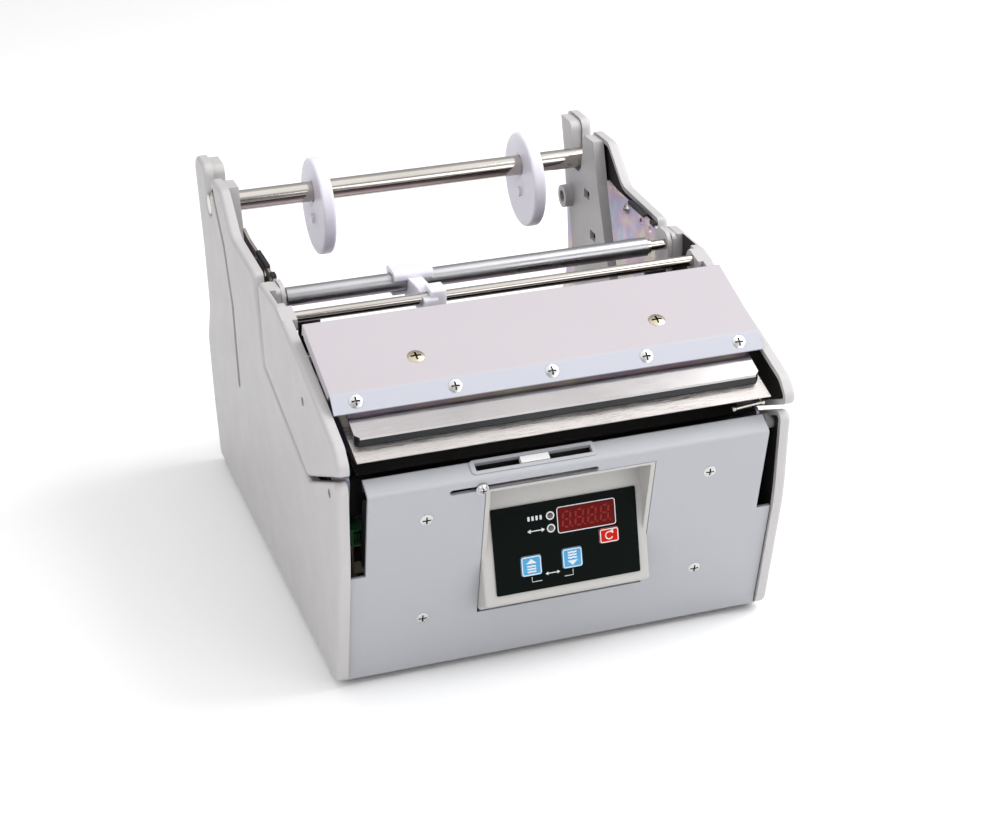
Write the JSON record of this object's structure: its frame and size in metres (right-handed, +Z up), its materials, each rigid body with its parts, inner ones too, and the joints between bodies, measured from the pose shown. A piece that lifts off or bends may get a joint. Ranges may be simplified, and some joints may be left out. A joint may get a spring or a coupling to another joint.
{
  "type": "label dispenser",
  "caption": "Tabletop automatic label dispenser: grey side shells, hinged peel head, roll shaft with two core discs, motor-driven feed and a sloped keypad box.",
  "frame": {"origin": "Centre of the footprint at the level of the feet's undersides; X across the width, to the operator's right.", "axes": "+X to the operator's right, +Y from the operator to the back, +Z up."},
  "size_m": [0.255, 0.3455, 0.21],
  "materials": {
    "shell_plastic": "fine spark texture, light warm grey",
    "cradle_plastic": "fine texture, mid grey",
    "zinc_plate": "zinc plated, faint iridescent passivation",
    "black_rubber": "smooth",
    "panel_paint": "fine powder coat, bluish light grey",
    "cover_paint": "fine powder coat, pale warm grey",
    "black_paint": "satin black powder coat",
    "black_plastic": "fine texture",
    "box_plastic": "fine texture, light warm grey",
    "white_plastic": "smooth",
    "white_nylon": "slightly translucent nylon",
    "connector_beige": "smooth",
    "board_green": "solder mask",
    "overlay_black": "printed polyester film",
    "window_red": "tinted clear window",
    "lens_clear": "clear lens",
    "key_red": "printed film",
    "key_blue": "printed film",
    "bright_steel": "ground and polished",
    "satin_aluminium": "satin anodised",
    "polished_steel": "polished sheet",
    "peel_steel": "fine brushed sheet",
    "dark_acrylic": "smoked, polished edge",
    "roller_rubber": "ground",
    "green_belt": "moulded",
    "motor_case": "satin",
    "screw_steel": "nickel plated",
    "screw_brass": "yellow passivated"
  },
  "bodies": {
    "base": {"right_shell": "shell_plastic", "left_shell": "shell_plastic", "side_frames": "zinc_plate", "roll_cradles": "cradle_plastic", "edge_trims": "black_rubber", "base_tray": "zinc_plate", "feet": "black_rubber", "inner_deck": "zinc_plate", "rear_panel": "panel_paint", "power_inlet": "black_plastic", "switch_body": "black_plastic", "power_supply": "zinc_plate", "tie_bars": "bright_steel", "front_panel": "panel_paint", "control_box": "box_plastic", "keypad_overlay": "overlay_black", "display_window": "window_red", "status_lenses": "lens_clear", "control_board": "board_green", "board_connectors": "connector_beige", "web_guard": "black_paint", "guide_axle": "bright_steel", "roller_bearings": "bright_steel", "drive_belt": "green_belt", "motor": "motor_case", "motor_bracket": "zinc_plate", "feeler_switch": "black_plastic", "stop_buffers": "black_rubber", "buffer_brackets": "zinc_plate", "pivot_posts": "shell_plastic", "panel_screws": "screw_steel", "chassis_screws": "screw_steel"},
    "head": {"top_cover": "cover_paint", "cover_brackets": "zinc_plate", "press_plate": "polished_steel", "press_bar": "dark_acrylic", "peel_plate": "peel_steel", "right_cheek": "shell_plastic", "left_cheek": "shell_plastic", "head_side_plates": "zinc_plate", "head_shaft": "bright_steel", "cover_screws": "screw_brass", "head_screws": "screw_steel"},
    "roll_shaft": {"roll_shaft": "bright_steel"},
    "left_core_disc": {"left_core_disc": "white_nylon"},
    "right_core_disc": {"right_core_disc": "white_nylon"},
    "guide_tube": {"guide_tube": "satin_aluminium"},
    "width_guide": {"width_guide": "white_nylon"},
    "sensor_carriage": {"sensor_slider": "white_plastic", "sensor_bracket": "zinc_plate", "sensor_clamp_screw": "screw_steel"},
    "key_reset": {"key_reset": "key_red"},
    "key_up": {"key_up": "key_blue"},
    "key_down": {"key_down": "key_blue"},
    "switch_rocker": {"switch_rocker": "black_plastic"},
    "drive_roller": {"drive_roller": "roller_rubber", "drive_pulley": "white_nylon"},
    "pinch_roller": {"pinch_roller": "bright_steel"},
    "motor_shaft": {"motor_pulley": "white_nylon"},
    "feeler": {"feeler_wire": "bright_steel"}
  },
  "joints": [
    {"name": "head_hinge", "type": "hinge", "parent": "base", "child": "head", "pos_m": [0, -0.0135, 0.181], "axis": [-1, 0, 0], "range_deg": [0, 60]},
    {"name": "roll_shaft_spin", "type": "hinge", "parent": "base", "child": "roll_shaft", "pos_m": [0, 0.1345, 0.18775], "axis": [1, 0, 0], "continuous": true},
    {"name": "left_disc_slide", "type": "slide", "parent": "roll_shaft", "child": "left_core_disc", "axis": [1, 0, 0], "range_m": [-0.04, 0.06]},
    {"name": "right_disc_slide", "type": "slide", "parent": "roll_shaft", "child": "right_core_disc", "axis": [1, 0, 0], "range_m": [-0.06, 0.022]},
    {"name": "guide_tube_spin", "type": "hinge", "parent": "base", "child": "guide_tube", "pos_m": [0, -0.0135, 0.181], "axis": [1, 0, 0], "continuous": true},
    {"name": "width_guide_slide", "type": "slide", "parent": "head", "child": "width_guide", "axis": [1, 0, 0], "range_m": [-0.04, 0.12]},
    {"name": "sensor_slide", "type": "slide", "parent": "base", "child": "sensor_carriage", "axis": [1, 0, 0], "range_m": [-0.014, 0.023]},
    {"name": "reset_key_press", "type": "slide", "parent": "base", "child": "key_reset", "axis": [0, 0.9816, -0.1908], "range_m": [0, 0.0004], "stiffness_N_per_m": 1200},
    {"name": "up_key_press", "type": "slide", "parent": "base", "child": "key_up", "axis": [0, 0.9816, -0.1908], "range_m": [0, 0.0004], "stiffness_N_per_m": 1200},
    {"name": "down_key_press", "type": "slide", "parent": "base", "child": "key_down", "axis": [0, 0.9816, -0.1908], "range_m": [0, 0.0004], "stiffness_N_per_m": 1200},
    {"name": "power_switch_rock", "type": "hinge", "parent": "base", "child": "switch_rocker", "pos_m": [0.04, 0.1565, 0.03], "axis": [0, 0, -1], "range_deg": [0, 20]},
    {"name": "drive_roller_spin", "type": "hinge", "parent": "base", "child": "drive_roller", "pos_m": [0, -0.106, 0.11], "axis": [1, 0, 0], "continuous": true},
    {"name": "pinch_roller_spin", "type": "hinge", "parent": "base", "child": "pinch_roller", "pos_m": [0, -0.08495, 0.11766], "axis": [1, 0, 0], "continuous": true},
    {"name": "motor_shaft_spin", "type": "hinge", "parent": "base", "child": "motor_shaft", "pos_m": [-0.09, -0.082, 0.06], "axis": [1, 0, 0], "continuous": true},
    {"name": "feeler_lever", "type": "hinge", "parent": "base", "child": "feeler", "pos_m": [0.112, -0.148, 0.1434], "axis": [0, 1, 0], "range_deg": [-8, 8], "stiffness_Nm_per_rad": 0.02}
  ],
  "couplings": [
    {"joint": "pinch_roller_spin", "follows": "drive_roller_spin", "ratio": -1.2},
    {"joint": "motor_shaft_spin", "follows": "drive_roller_spin", "ratio": 1.8523}
  ]
}
